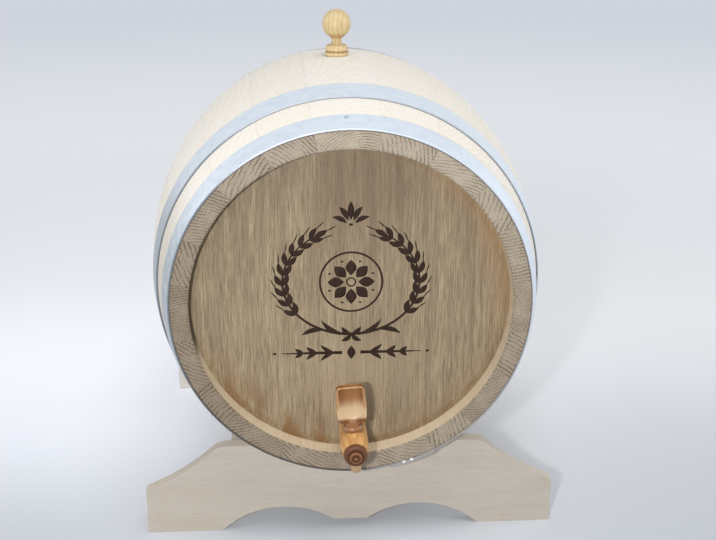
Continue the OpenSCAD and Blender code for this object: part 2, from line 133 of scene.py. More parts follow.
class Finish:
    """A procedural material round one Principled shader."""

    def __init__(self, name, roughness=0.6, metallic=0.0, specular=0.5):
        self.material = bpy.data.materials.new(name)
        self.material.use_nodes = True
        self.tree = self.material.node_tree
        self.shader = self.tree.nodes["Principled BSDF"]
        self.shade("Roughness", roughness)
        self.shade("Metallic", metallic)
        self.shade("Specular IOR Level", specular)

    def feed(self, socket, value):
        """Links a signal to a socket, or sets the socket to a value."""
        if isinstance(value, Signal):
            self.tree.links.new(value.socket, socket)
        else:
            socket.default_value = value

    def shade(self, socket_name, value):
        """Feeds one socket of the Principled shader."""
        self.feed(self.shader.inputs[socket_name], value)

    def node(self, kind, settings=None, inputs=None, output=0):
        """Adds a node; its settings are made first, and inputs go by number or name."""
        made = self.tree.nodes.new(kind)
        for name, value in (settings or {}).items():
            setattr(made, name, value)
        for key, value in (inputs or {}).items():
            self.feed(made.inputs[key], value)
        return Signal(self, made.outputs[output])

    def math(self, operation, *values):
        return self.node("ShaderNodeMath", {"operation": operation}, dict(enumerate(values)))

    def hypot(self, first, second):
        """The distance of a point from an axis, out of two distances at a right angle."""
        return self.math("SQRT", first * first + second * second)

    def step(self, value, start, full):
        """0 up to start, 1 from full on, smooth between them; start may be the larger."""
        inputs = {"Value": value, "From Min": start, "From Max": full}
        return self.node("ShaderNodeMapRange", {"interpolation_type": "SMOOTHSTEP"}, inputs)

    def between(self, value, start, full, fading, end):
        """1 from full to fading, and 0 up to start and from end on."""
        return self.step(value, start, full) * (1 - self.step(value, fading, end))

    def band(self, value, centre, half_width):
        """1 at centre, and 0 from half_width away."""
        return 1 - self.step(abs(value - centre), 0, half_width)

    def stretch(self, vector, factors):
        inputs = {0: vector, 1: factors}
        return self.node("ShaderNodeVectorMath", {"operation": "MULTIPLY"}, inputs)

    def noise(self, vector, factors, detail=2.0, roughness=0.5):
        """Noise from 0 to 1 whose grains are as many a millimetre as factors say."""
        inputs = {"Vector": self.stretch(vector, factors), "Scale": 1.0}
        inputs |= {"Detail": detail, "Roughness": roughness}
        return self.node("ShaderNodeTexNoise", {"noise_dimensions": "3D"}, inputs)

    def mix(self, factor, first, second):
        """The first colour where factor is 0, and the second where it is 1."""
        settings = {"data_type": "RGBA", "blend_type": "MIX", "clamp_factor": True}
        return self.node("ShaderNodeMix", settings, {0: factor, 6: first, 7: second}, output=2)

    def bump(self, height, depth_mm):
        """Raises the surface by height times a depth in millimetres."""
        inputs = {"Height": height, "Distance": depth_mm * MM, "Strength": 1.0}
        self.shade("Normal", self.node("ShaderNodeBump", None, inputs))

    def place(self, centre, turn=(0, 0, 0)):
        """Object coordinates in millimetres from centre, in a frame turned by turn."""
        spot = self.node("ShaderNodeTexCoord", output=3)
        inputs = {"Vector": spot, "Location": centre, "Rotation": turn, "Scale": (MM,) * 3}
        return self.node("ShaderNodeMapping", {"vector_type": "TEXTURE"}, inputs)

    def axes(self, vector):
        """The three coordinates of a vector, as signals."""
        split = self.tree.nodes.new("ShaderNodeSeparateXYZ")
        self.feed(split.inputs[0], vector)
        return [Signal(self, output) for output in split.outputs]

    def on(self, name):
        """Gives this finish to a construction node."""
        nodes[name].material_slots[0].material = self.material


print("tools for shader maths are ready")

# %% [markdown]
# ## Wood in three dimensions
#
# A tree grows a ring a year. Seen from a corner of a board, the pith, the middle of the
# tree, is a line somewhere outside it, and a ring is every place at the same distance
# from that line. So one distance gives arcs on the end face, stripes on a quarter-sawn
# face and long arches on a flat-sawn one, and all faces of a board agree at the edges.
# A picture of wood wrapped round the board would not: its end grain has to be guessed.
# Fibres and pores are noise drawn out along the grain.
#
# In the frame of a board the grain runs along Y, X lies across it and Z goes through it.

# %% Rings, fibres and pores of one board
# how far a slow and a quick noise push the rings out of round, in widths of a ring
WANDER, WAVER = 3.2, 0.45
# late wood within a ring from 0 to 1: it starts slowly and ends at once
LATE_WOOD = (0.40, 0.85, 0.90, 1.0)


class Timber:
    """The grain of one board, as signals from 0 to 1."""

    def __init__(self, finish, spot, pith, ring_mm, seed):
        # the seed moves each board to another part of the same endless noise
        move = {0: spot, 1: (13.7 * seed, 71.3 * seed, 5.9 * seed)}
        place = finish.node("ShaderNodeVectorMath", {"operation": "ADD"}, move)
        across, _, deep = finish.axes(spot)
        wander = finish.noise(place, (0.03, 0.006, 0.03), detail=3)
        waver = finish.noise(place, (0.3, 0.01, 0.3), detail=2)
        distance = finish.hypot(across - pith[0], deep - pith[1])
        distance = distance + (wander * WANDER + waver * WAVER) * ring_mm
        ring = finish.math("FRACT", distance / ring_mm)
        self.late = finish.between(ring, *LATE_WOOD)
        self.fibre = finish.noise(place, (1.1, 0.03, 1.1), detail=4, roughness=0.65)
        self.streak = finish.noise(place, (0.35, 0.008, 0.35), detail=3)
        dashes = finish.noise(place, (1.8, 0.12, 1.8), detail=1)
        self.pore = finish.step(dashes, 0.60, 0.70)


print("late wood is darkest from", LATE_WOOD[1], "to", LATE_WOOD[2], "of a ring")

# %% [markdown]
# ## Staves
#
# A stave shows three woods in one. Outside it is freshly sanded and almost white, and
# painted greyer near the ends at the left, as shade. Its end face is grey-brown
# from handling, with the rings as hatching and the pores as dots. The wall inside the
# chime is pale and newly cut, but painted black at the upper left, as shade.
#
# That could be three materials on three sets of faces. Here one material works out which
# face a point is on, from its radius and its distance to the end, because the same rings
# then go on round every edge. Each stave comes from another place in the tree, so each
# gets its own material from one function: its frame is turned to the stave, and its pith
# lies on another side.

# %% Measure each stave
STAVES = sorted(name for name in nodes if name.startswith("stave_"))


def stave_angles(name):
    """The middle of a stave round the axis and half the angle that it fills."""
    places = [v.co for v in nodes[name].data.vertices]
    middle = sum((Vector((p.x, p.z - AXIS_Z)) for p in places), Vector((0, 0)))
    angle = math.atan2(middle.y, middle.x)
    turns = [math.atan2(p.z - AXIS_Z, p.x) - angle for p in places]
    return angle, max((turn + math.pi) % math.tau - math.pi for turn in turns)


print({name: round(math.degrees(stave_angles(name)[0])) for name in STAVES[:6]})

# %% Colours and zones of the staves
SANDED = paint(250, 244, 236)
SANDED_WARM = paint(244, 234, 217)
SANDED_LINE = paint(228, 212, 186)
SANDED_SHADE = paint(176, 164, 144)
END_LIGHT = paint(204, 190, 168)
END_PALE = paint(188, 174, 155)
END_GREY = paint(166, 152, 133)
END_SHADE = paint(130, 114, 95)
END_BROWN = paint(72, 56, 40)
END_DARK = paint(70, 54, 40)
FRESH_CUT = paint(223, 207, 179)
FRESH_LINE = paint(192, 170, 138)
WALL_SHADE = paint(34, 23, 14)
# a zone is the place where something starts and the place where it is full, in
# millimetres: here to the right of the cask's axis, above it, or in from the end
LEFT_ZONE = (-44, -62)
STAVE_SHADE_LEFT = (-96, -124)
STAVE_SHADE_ENDS = (60, 28)
WALL_SHADE_ZONE = (-40, -18)
# the end grain shows this far in from the end face
CORNER = 1.4
# the pith is this far from the outside of a stave and leans this many degrees to a side,
# and the rings are this wide; the second number of each makes the staves differ
PITH_AWAY, PITH_SPREAD = 34, 60
PITH_LEAN, LEAN_SPREAD = 16, 66
RING_LEAST, RING_STEP = 1.7, 0.3


def at_left(finish):
    """1 in the left and upper left of the cask, seen from the front."""
    across, _, up = finish.axes(finish.place(CASK_MIDDLE))
    return finish.step(across - up * 0.3, *LEFT_ZONE)


print("end grain turns the corner by", CORNER, "mm")

# %% The three woods of a stave


def sanded_side(finish, wood, number, across, from_end):
    """Pale, with faint bands of the rings and a few pores, and painted greyer at the left, as
    shade.
    """
    tint = (number * 5) % 7 / 7
    pale = finish.mix(wood.streak * 0.8 + tint * 0.35 - 0.3, SANDED, SANDED_WARM)
    pale = finish.mix(wood.late * 0.18 + wood.pore * 0.14, pale, SANDED_LINE)
    # painted shade: the staves are greyer at the left, near the ends
    stave_left_shade = finish.step(across, *STAVE_SHADE_LEFT) * finish.step(from_end, *STAVE_SHADE_ENDS)
    return finish.mix(stave_left_shade * 0.42, pale, SANDED_SHADE)


def end_grain(finish, wood, number, angle, spot, radius):
    """The rings as hatching and the pores as dots, with a tone of its own for each stave."""
    dots = finish.noise(spot, (1.3, 0.2, 1.3), detail=3, roughness=0.7)
    patches = finish.noise(spot, (0.13, 0.1, 0.13), detail=2)
    tone = (number * 11) % 6 / 6
    # the ring of ends is darkest at the left, then at the bottom, and palest on top
    sideways = math.cos(angle)
    worn = 0.36 - 0.16 * math.sin(angle) - 0.20 * sideways + 0.30 * sideways ** 2
    worn += 0.14 * (tone - 0.5)
    grey = finish.mix(patches * 1.3 - 0.45, END_PALE, END_GREY)
    grey = finish.mix(worn, grey, END_SHADE)
    hatching = wood.late * finish.step(patches, 0.25, 0.6) * finish.step(dots, 0.32, 0.52)
    grey = finish.mix(hatching * (0.60 + 0.35 * worn), grey, END_BROWN)
    grey = finish.mix(finish.step(dots, 0.52, 0.66) * 0.6, grey, END_DARK)
    grey = finish.mix(finish.step(dots, 0.48, 0.34) * (0.45 - 0.25 * worn), grey, END_LIGHT)
    # painted shade: a dark line at the outer edge of the end face, where it meets the hoop
    rim = finish.step(radius, CHIME_R - 0.8, CHIME_R - 0.1)
    return finish.mix(rim * 0.5, grey, END_DARK)


def chime_wall(finish, wood, up):
    """Newly cut, but painted black at the left, as shade."""
    fresh = finish.mix(wood.fibre * 1.4 - 0.4, FRESH_CUT, FRESH_LINE)
    # painted shade: the wall is black at the left and upper left
    wall_shade = at_left(finish) * finish.step(up, *WALL_SHADE_ZONE)
    return finish.mix(wall_shade * 0.92, fresh, WALL_SHADE)


print("side, end and wall are ready")

# %% Dress the staves


def stave_finish(number, name):
    """The material of one stave, cut from a tree of its own."""
    angle, half_angle = stave_angles(name)
    finish = Finish("oak_" + name, roughness=0.62, specular=0.3)
    spot = finish.place(CASK_MIDDLE, turn=(0, math.pi / 2 - angle, 0))
    across, along, deep = finish.axes(spot)
    # the pith lies on another side of each stave, so its end shows arches or slanting lines
    lean = math.radians((PITH_LEAN + (number * 37) % LEAN_SPREAD) * (-1) ** number)
    distance = PITH_AWAY + (number * 29) % PITH_SPREAD
    pith = (distance * math.sin(lean), CHIME_R - distance * math.cos(lean))
    ring_mm = RING_LEAST + (number * 7) % 5 * RING_STEP
    wood = Timber(finish, spot, pith, ring_mm, seed=number + 1)

    # which face a point is on
    radius = finish.hypot(across, deep)
    from_end = HALF_LENGTH - abs(along)
    on_end = 1 - finish.step(from_end, CORNER - 0.4, CORNER)
    inside = (1 - finish.step(radius, WALL_R + 0.5, WALL_R + 1.1)) * (1 - on_end)
    end_face = (1 - finish.step(from_end, 0.05, 0.25)) * (1 - inside)

    cask_across, _, cask_up = finish.axes(finish.place(CASK_MIDDLE))
    side = sanded_side(finish, wood, number, cask_across, from_end)
    grey = end_grain(finish, wood, number, angle, spot, radius)
    colour = finish.mix(on_end * finish.step(radius, CHIME_R, CHIME_R - 0.1), side, grey)
    colour = finish.mix(end_face, colour, grey)
    colour = finish.mix(inside, colour, chime_wall(finish, wood, cask_up))
    # the joint with the next stave is a hair line
    angle_here = abs(finish.math("ARCTAN2", across, deep))
    joint = 1 - finish.step((half_angle - angle_here) * radius, 0.03, 0.3)
    finish.shade("Base Color", finish.mix(joint * (on_end * 0.15 + 0.12), colour, END_DARK))
    finish.bump(wood.fibre * 0.5 + wood.late * end_face - wood.pore * 0.5 - joint, 0.10)
    return finish


for number, name in enumerate(STAVES):
    stave_finish(number, name).on(name)
print(len(STAVES), "staves finished")

# %% [markdown]
# ## Heads
#
# The head is five boards, doweled edge to edge and planed as one, so the joints are hair
# lines. Its grain stands upright: brown streaks with lighter ones between them, and dark
# pores. Painted shade darkens the top of the middle boards. The wood is faded above the tap,
# stained low down where the cask has been wet, and painted with shade in the corner at the left.
#
# Such marks could be painted by hand on an unwrapped head. Here each is a zone, a smooth
# step over the distance to the right, up or out from the middle, roughened by a slow
# noise. It needs no unwrapping, and it can be moved by changing one named value.

# %% Colours and zones of the heads
HEAD_PALE = paint(182, 164, 134)
HEAD_LIGHT = paint(168, 150, 120)
HEAD_MID = paint(148, 130, 102)
HEAD_DARK = paint(106, 87, 68)
HEAD_ROSE = paint(142, 120, 96)
HEAD_HEART_AND_SHADE = paint(114, 94, 74)
HEAD_STAIN = paint(134, 104, 70)
HEAD_WARM = paint(170, 132, 92)
# millimetres to the right of the head's middle, above it, or out from it
TOP_SHADE_AT, TOP_SHADE_WIDE, TOP_SHADE_UP = 12, 55, (0, 75)
STAIN_OUT, STAIN_DOWN, STAIN_LEFT = (96, 116), (-20, -80), (30, -20)
WARM_OUT, WARM_RIGHT, WARM_UP = (100, 120), (30, 75), (-40, 20)
CORNER_UP = (-60, -35)
FADED_WIDE, FADED_AT, FADED_HIGH = 60, -48, 34
# how much a slow noise blurs the edge of the stains
BLUR = 30


def head_grain(finish, spot, wood, mottle):
    """Brown wood with upright streaks, hairs and pores."""
    hairs = finish.noise(spot, (1.1, 0.05, 1.1), detail=4, roughness=0.7)
    colour = finish.mix(finish.step(wood.streak, 0.25, 0.75) * 0.8, HEAD_MID, HEAD_LIGHT)
    colour = finish.mix(finish.step(mottle, 0.46, 0.64) * 0.4, colour, HEAD_ROSE)
    colour = finish.mix(finish.step(hairs, 0.48, 0.66) * 0.62, colour, HEAD_DARK)
    colour = finish.mix(finish.step(hairs, 0.50, 0.34) * 0.65, colour, HEAD_PALE)
    colour = finish.mix(wood.late * 0.12, colour, HEAD_DARK)
    return finish.mix(wood.pore * 0.3, colour, HEAD_DARK)


def head_wear(finish, spot, colour, mottle, across, along):
    """Heartwood, painted shade, stains and fading, each at its place on the head."""
    # brown heartwood in patches, and painted shade darkening the top of the middle boards
    heart = finish.noise(spot, (0.11, 0.006, 0.11), detail=3)
    middle_top = finish.band(across, TOP_SHADE_AT, TOP_SHADE_WIDE) * finish.step(along, *TOP_SHADE_UP)
    heart = finish.step(heart, 0.42, 0.62) * 0.35 + middle_top * 0.58
    colour = finish.mix(heart, colour, HEAD_HEART_AND_SHADE)
    # damp stains towards the lower edge, most at the left
    out = finish.hypot(across, along)
    blurred = out + mottle * BLUR
    stain = finish.step(blurred, *STAIN_OUT) * finish.step(along, *STAIN_DOWN)
    stain = stain * finish.step(mottle, 0.42, 0.6)
    stain = stain * finish.step(across, *STAIN_LEFT) * 0.8 + stain * 0.25
    colour = finish.mix(stain, colour, HEAD_STAIN)
    # a warm edge at the right, where new wood still shows
    warm = finish.step(blurred, *WARM_OUT) * finish.step(across, *WARM_RIGHT)
    colour = finish.mix(warm * finish.step(along, *WARM_UP) * 0.38, colour, HEAD_WARM)
    # painted shade goes on from the wall into the corner where the head meets it
    corner = finish.step(out, WALL_R - 1.2, WALL_R - 0.5) * at_left(finish)
    colour = finish.mix(corner * finish.step(along, *CORNER_UP) * 0.8, colour, WALL_SHADE)
    # the wood has faded above the tap
    lightened = finish.band(across, 0, FADED_WIDE) * finish.band(along, FADED_AT, FADED_HIGH)
    return finish.mix(lightened * 0.4, colour, HEAD_PALE)


print("grain and wear of the heads are ready")

# %% Dress the heads


def head_finish(number, name, centre_y):
    """The material of one head board."""
    low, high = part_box(name)
    finish = Finish("oak_" + name, specular=0.35)
    spot = finish.place((0, centre_y, AXIS_Z), turn=(math.pi / 2, 0, 0))
    across, along, _ = finish.axes(spot)
    # the boards are from one tree, and each from another side of its pith
    pith = ((number * 61) % 90 - 45, -70 - (number * 37) % 60)
    wood = Timber(finish, spot, pith, ring_mm=3.6, seed=31 + number)
    mottle = finish.noise(spot, (0.06, 0.02, 0.06), detail=4, roughness=0.6)
    colour = head_grain(finish, spot, wood, mottle)
    colour = head_wear(finish, spot, colour, mottle, across, along)
    # the joint with the next board is a hair line
    middle = (low.x + high.x) / 2 / MM
    half_width = (high.x - low.x) / 2 / MM
    joint = 1 - finish.step(half_width - abs(across - middle), 0.03, 0.25)
    finish.shade("Base Color", finish.mix(joint * 0.30, colour, HEAD_DARK))
    finish.shade("Roughness", 0.5 + wood.fibre * 0.18)
    finish.bump(wood.fibre - wood.pore * 0.7 - wood.late * 0.4 - joint, 0.10)
    return finish


for end in ("front", "rear"):
    boards = sorted(name for name in nodes if name.startswith(end + "_head_board"))
    first = len(boards) if end == "rear" else 0
    centre_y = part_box(boards[0])[0].y
    for number, name in enumerate(boards, first):
        head_finish(number, name, centre_y).on(name)
    print(len(boards), end, "head boards finished")

# %% [markdown]
# ## Hoops, rivets and nails
#
# The hoops are galvanised strip: pale, slightly blue and not quite even, because the zinc
# lies in flakes and the strip has been rolled and hammered down. At the left the zinc is
# painted darker, as shade. The edge towards the end was sheared and shows bare metal;
# painted shade darkens it at the left, in its inner corner and along its lower half, less at
# the lower right, and painted glints stand on it over two rivets. The rivets are plain
# steel, a little darker, and the nails are galvanised.
#
# The edge could be a second material on its own faces, but its painted shade lies along the inner
# rim of a cone. So edge and shade are found by place like the rest, and the inner radius
# is measured at both edges of each hoop.

# %% Metal colours, and the inside of a hoop
ZINC = paint(227, 234, 242)
ZINC_SHADE = paint(206, 216, 229)
HOOP_LEFT_SHADE = paint(152, 158, 161)
SHEARED = paint(214, 221, 230)
SHEARED_GREY = paint(172, 178, 186)
SHEARED_SHADED_LEFT = paint(128, 137, 145)
SHEARED_LOW = paint(176, 172, 166)
SHEARED_SHADED_LOW = paint(104, 101, 97)
HOOP_CORNER_SHADE = paint(74, 70, 66)
GLINT = paint(255, 255, 250)
STEEL = paint(166, 168, 170)
STEEL_SHADE = paint(96, 94, 92)
# zones in millimetres to the right of the cask's axis or above it
HOOP_SHADE_LEFT, HOOP_SHADE_TOP = (-90, -150), (40, 85)
EDGE_SHADE_LEFT = (-55, -95)
BELOW = (0, -90)
LIGHTER_RIGHT = (0, 25)
HIDDEN_LEFT = (40, -20)
# from the first distance to a hoop's edge a point starts to count as edge, from the
# second it does wholly
EDGE_SOFT, EDGE_SURE = 0.12, 0.04
# painted shade lies in the corner this far out from the hoop's inside
CORNER_SHADE_DEEP = (0.6, 0.2)
# two rivets of the lap, by their angle in degrees, and the painted glints on the edge over them
RIVET_ANGLES = (-70.0, -72.7)
GLINT_OUT, GLINT_SIZE = 0.5, (1.4, 0.7)


def edge_radius(name, plane):
    """The inner radius of a hoop at one of its edges, in millimetres."""
    places = [v.co for v in nodes[name].data.vertices]
    return min(radius_of(p) for p in places if abs(p.y - plane) < ON_PLANE) / MM


print("the front chime hoop starts at radius", round(edge_radius("front_chime_hoop", FRONT_Y), 1))

# %% The hoop finish


def hoop_finish(name, sheared, rivet_angles):
    """Zinc, with a bare edge in the colour sheared, painted shade, and painted glints over the
    rivets.
    """
    low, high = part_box(name)
    finish = Finish("zinc_" + name)
    spot = finish.place(CASK_MIDDLE)
    across, along, up = finish.axes(spot)
    flakes = finish.noise(spot, (0.16, 0.16, 0.16), detail=3, roughness=0.6)
    rolled = finish.noise(spot, (0.05, 2.2, 0.05), detail=3)
    colour = finish.mix(finish.step(flakes, 0.4, 0.65) * 0.4 + rolled * 0.25, ZINC, ZINC_SHADE)
    # painted shade: the zinc is darker at the left, less so towards the top
    zinc_left_shade = finish.step(across - flakes * 40, *HOOP_SHADE_LEFT)
    zinc_left_shade = zinc_left_shade * (1 - finish.step(up, *HOOP_SHADE_TOP) * 0.6)
    colour = finish.mix(zinc_left_shade * 0.8, colour, HOOP_LEFT_SHADE)

    # the sheared edge towards the end
    middle = (low.y + high.y) / 2 / MM - CASK_MIDDLE.y / MM
    half_width = (high.y - low.y) / 2 / MM
    outwards = (along - middle) * math.copysign(1, middle)
    soft, sure = half_width - EDGE_SOFT, half_width - EDGE_SURE
    edge = finish.step(outwards, soft, sure)
    # painted shade: the bare edge is darker at the left and along its lower half, and lighter at
    # the lower right
    below = finish.step(up, *BELOW)
    lighter_low_right = finish.step(across, *LIGHTER_RIGHT) * below
    bare = finish.mix(finish.step(across, *EDGE_SHADE_LEFT), sheared, SHEARED_SHADED_LEFT)
    bare = finish.mix(below, bare, finish.mix(lighter_low_right, SHEARED_SHADED_LOW, SHEARED_LOW))
    colour = finish.mix(edge, colour, bare)

    # painted shade in its inner corner, on the cone that the hoop's inside makes
    front_r, rear_r = (edge_radius(name, plane) for plane in (low.y, high.y))
    slope = (rear_r - front_r) / half_width / 2
    inner_r = (along - (middle - half_width)) * slope + front_r
    corner_shade = edge * finish.step(finish.hypot(across, up) - inner_r, *CORNER_SHADE_DEEP)
    colour = finish.mix(corner_shade * (0.8 - lighter_low_right * 0.6), colour, HOOP_CORNER_SHADE)

    # painted shade: the edge towards the bilge is darkened to steel grey at the left, and is
    # almost zinc at the right
    hidden = finish.step(outwards, -soft, -sure)
    colour = finish.mix(hidden * (0.1 + 0.8 * finish.step(across, *HIDDEN_LEFT)), colour, STEEL)

    # painted glints: white spots on the front edge of the lap, over the rivets
    glints = 0
    for degrees in rivet_angles:
        x = (CHIME_R + GLINT_OUT) * math.cos(math.radians(degrees))
        z = (CHIME_R + GLINT_OUT) * math.sin(math.radians(degrees))
        glints = glints + edge * finish.step(finish.hypot(across - x, up - z), *GLINT_SIZE)
    finish.shade("Base Color", finish.mix(glints, colour, GLINT))
    finish.shade("Metallic", (0.55 + flakes * 0.2) * (1 - glints))
    finish.shade("Roughness", 0.36 + flakes * 0.2)
    finish.bump(flakes * 0.4 + rolled * 0.3, 0.06)
    return finish


for name, sheared, rivet_angles in (
    ("front_chime_hoop", SHEARED, RIVET_ANGLES),
    ("front_quarter_hoop", SHEARED_GREY, ()),
    ("rear_quarter_hoop", SHEARED_GREY, ()),
    ("rear_chime_hoop", SHEARED, ()),
):
    hoop_finish(name, sheared, rivet_angles).on(name)
    print(name, "finished")

# %% Rivets and nails
for name, roughness, light, shade in (
    ("hoop_rivets", 0.30, STEEL, STEEL_SHADE),
    ("hoop_nails", 0.50, ZINC_SHADE, STEEL),
):
    steel = Finish("steel_" + name, roughness, metallic=0.9)
    worn = steel.noise(steel.place(CASK_MIDDLE), (0.9, 0.9, 0.9), detail=3)
    steel.shade("Base Color", steel.mix(worn, light, shade))
    steel.bump(worn, 0.05)
    steel.on(name)
    print(name, "finished")

# %% [markdown]
# ## Turned pieces
#
# The tap is turned from a reddish fruit wood and oiled, so it is darker, warmer and
# shinier than the oak, and darkest on the end grain of its nose, where the oil goes in.
# The key is the same wood. Painted shade darkens the upper half of its hollow and painted
# light pales the lower half, and its lip is pale too. Painted shade darkens its collar and
# two crescents between the grip and the collar. The bung is yellow pine with upright grain,
# with painted shade in its groove and under its ball.
#
# Each could be one plain brown, but a turned piece is known by how its rings run: the
# block's grain is straight, and the turner cuts through it. So the same timber is used,
# in a frame that follows the axis of each piece, and marks are placed along that axis.

# %% Measure the turned pieces
FRUIT_DARK = paint(134, 82, 46)
FRUIT_DEEP_SHADE = paint(98, 54, 20)
NOSE_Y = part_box("tap_body")[0].y
key_low, key_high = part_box("tap_key")
# the nose tip lies on the tap's axis, and the key's axis crosses it
tip = [v.co for v in nodes["tap_body"].data.vertices if v.co.y < NOSE_Y + 0.1 * MM]
TAP_Z = sum(p.z for p in tip) / len(tip)
outlet = [v.co for v in nodes["tap_key"].data.vertices if v.co.z < key_low.z + 1 * MM]
OUTLET = sum((p for p in outlet), Vector((0, 0, 0))) / len(outlet)
KEY_Y = OUTLET.y
LEAN = math.atan2(OUTLET.x, TAP_Z - OUTLET.z)
GRIP_TOP = (key_high.z - TAP_Z) / MM
print(f"the key leans {math.degrees(LEAN):.1f} degrees and rises {GRIP_TOP:.1f} mm over the tap")

# %% The tap
FRUIT_LIGHT = paint(228, 180, 116)
FRUIT_MID = paint(202, 150, 94)
NOSE_RED = paint(84, 42, 23)
NOSE_PALE = paint(158, 109, 79)
# the dark nose reaches this far back, with a painted highlight ring and a pale boss on its end
NOSE_DEEP = (5.0, 6.6)
NOSE_RING_R, NOSE_RING_WIDE = 3.4, 0.8
BOSS_R = (0.5, 1.2)

tap = Finish("oiled_fruit_wood_tap", specular=0.35)
spot = tap.place((0, NOSE_Y, TAP_Z))
across, along, deep = tap.axes(spot)
wood = Timber(tap, spot, pith=(14, -60), ring_mm=3.4, seed=51)
colour = tap.mix(tap.step(wood.streak, 0.3, 0.7), FRUIT_LIGHT, FRUIT_MID)
colour = tap.mix(wood.late * 0.35 + wood.pore * 0.15, colour, FRUIT_DARK)
turning = tap.hypot(across, deep)
nose = 1 - tap.step(along, *NOSE_DEEP)
# painted highlight: a pale ring on the nose's end, where the edge of its button catches light
ring = tap.band(turning, NOSE_RING_R, NOSE_RING_WIDE)
boss = 1 - tap.step(turning, *BOSS_R)
dark = tap.mix(tap.math("MAXIMUM", ring, boss) * 0.6, NOSE_RED, NOSE_PALE)
tap.shade("Base Color", tap.mix(nose * 0.94, colour, dark))
tap.shade("Roughness", 0.36 + nose * 0.16)
tap.bump(wood.fibre * 0.6 - wood.pore * 0.4, 0.08)
tap.on("tap_body")
print("tap finished")

# %% The key
FRUIT_PALE = paint(206, 178, 142)
FRUIT_HOLLOW_SHADE = paint(144, 94, 44)
HANDLED_LIGHT = paint(190, 150, 106)
HANDLED_MID = paint(164, 120, 78)
# millimetres in front of the key's axis, and then up from the tap's axis
HOLLOW = (1.0, 1.4, 4.1, 4.35)
LIP = (17.5, 19, 23, 27)
COLLAR = (8.6, 9.4, 14.5, 16)
CRESCENTS_UP, CRESCENTS_HIGH = 16.2, 3.0
PLUG_TOP = (-9, -12)
# millimetres to the side of the key's axis
CRESCENTS_SIDE = (0.8, 3.4)
CORNERS_SIDE = (2.5, 7.5)
# millimetres below the top of the grip
HOLLOW_SHADE_DOWN, HOLLOW_SHADE_FULL = 15, 5

key = Finish("oiled_fruit_wood_key", roughness=0.38, specular=0.35)
spot = key.place((0, KEY_Y, TAP_Z), turn=(math.pi / 2, -LEAN, 0))
across, along, deep = key.axes(spot)
wood = Timber(key, spot, pith=(14, -70), ring_mm=3.4, seed=57)
colour = key.mix(key.step(wood.streak, 0.3, 0.7), HANDLED_LIGHT, HANDLED_MID)
colour = key.mix(wood.late * 0.34 + wood.pore * 0.15, colour, FRUIT_DARK)
# painted shade darkens the upper half of the hollow, and painted light pales the rest of it; the
# lip is pale too
hollow = key.between(deep, *HOLLOW)
oiled = key.step(along + wood.streak * 3, GRIP_TOP - HOLLOW_SHADE_DOWN, GRIP_TOP - HOLLOW_SHADE_FULL)
pale_below = key.math("MAXIMUM", hollow, key.between(along, *LIP)) * (1 - oiled)
colour = key.mix(pale_below * 0.8, colour, FRUIT_PALE)
colour = key.mix(hollow * oiled * 0.85, colour, FRUIT_HOLLOW_SHADE)
# painted shade in the upper corners of the hollow
corners = key.step(abs(across), *CORNERS_SIDE)
colour = key.mix(hollow * oiled * corners * 0.55, colour, FRUIT_DEEP_SHADE)
# painted shade darkens the collar under the grip, and two crescents above it
colour = key.mix(key.between(along, *COLLAR) * 0.7, colour, FRUIT_DARK)
crescents = key.band(along, CRESCENTS_UP, CRESCENTS_HIGH)
crescents = crescents * (0.35 + 0.65 * key.step(abs(across), *CRESCENTS_SIDE))
colour = key.mix(crescents * 0.9, colour, FRUIT_DEEP_SHADE)
# and the plug is dark below the tap
colour = key.mix(key.step(along, *PLUG_TOP) * 0.35, colour, FRUIT_DARK)
key.shade("Base Color", colour)
key.bump(wood.fibre * 0.6 - wood.pore * 0.4, 0.08)
key.on("tap_key")
print("key finished")

# %% The bung
PINE_LIGHT = paint(222, 202, 156)
PINE_DARK = paint(196, 158, 102)
PINE_SHADE = paint(150, 106, 56)
# millimetres down from the top of the ball
GROOVE_DOWN, GROOVE_WIDE = 29.3, 1.1
BALL_UNDER = (14.5, 19, 19.5, 21)

bung_low, bung_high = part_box("bung")
foot = ((bung_low.x + bung_high.x) / 2, CASK_MIDDLE.y, bung_low.z)
pine = Finish("turned_pine", roughness=0.45)
spot = pine.place(foot, turn=(math.pi / 2, 0, 0))
_, along, _ = pine.axes(spot)
wood = Timber(pine, spot, pith=(-90, -25), ring_mm=2.6, seed=63)
colour = pine.mix(wood.streak * 0.7 + wood.late * 0.35 - 0.1, PINE_LIGHT, PINE_DARK)
from_top = (bung_high.z - bung_low.z) / MM - along
# painted shade: a dark line in the groove, and darker under the ball
line = pine.band(from_top, GROOVE_DOWN, GROOVE_WIDE)
under = pine.between(from_top, *BALL_UNDER)
pine.shade("Base Color", pine.mix(line * 0.7 + under * 0.5, colour, PINE_SHADE))
pine.bump(wood.fibre - wood.late * 0.3, 0.06)
pine.on("bung")
print("bung finished")

# %% [markdown]
# ## Cradle, dowels and cork
#
# The cradle is plain beech, unfinished: fine grain along the boards, with short darker
# flecks. Its rear board is painted paler, as light, and its rails a little. Dowels are the
# same wood with the grain along them, and the cork sleeve is made of small rounded cells.
#
# All of the beech is one function with a table of pieces. A single shared material would
# be shorter, but then the grain could not turn with each piece.

# %% Beech for the cradle and the dowels
BEECH = paint(200, 190, 177)
BEECH_SHADE = paint(188, 177, 163)
BEECH_FLECK = paint(174, 160, 143)
BEECH_LIT = paint(238, 234, 228)
ALONG_X = (0, 0, -math.pi / 2)
ALONG_Y = (0, 0, 0)


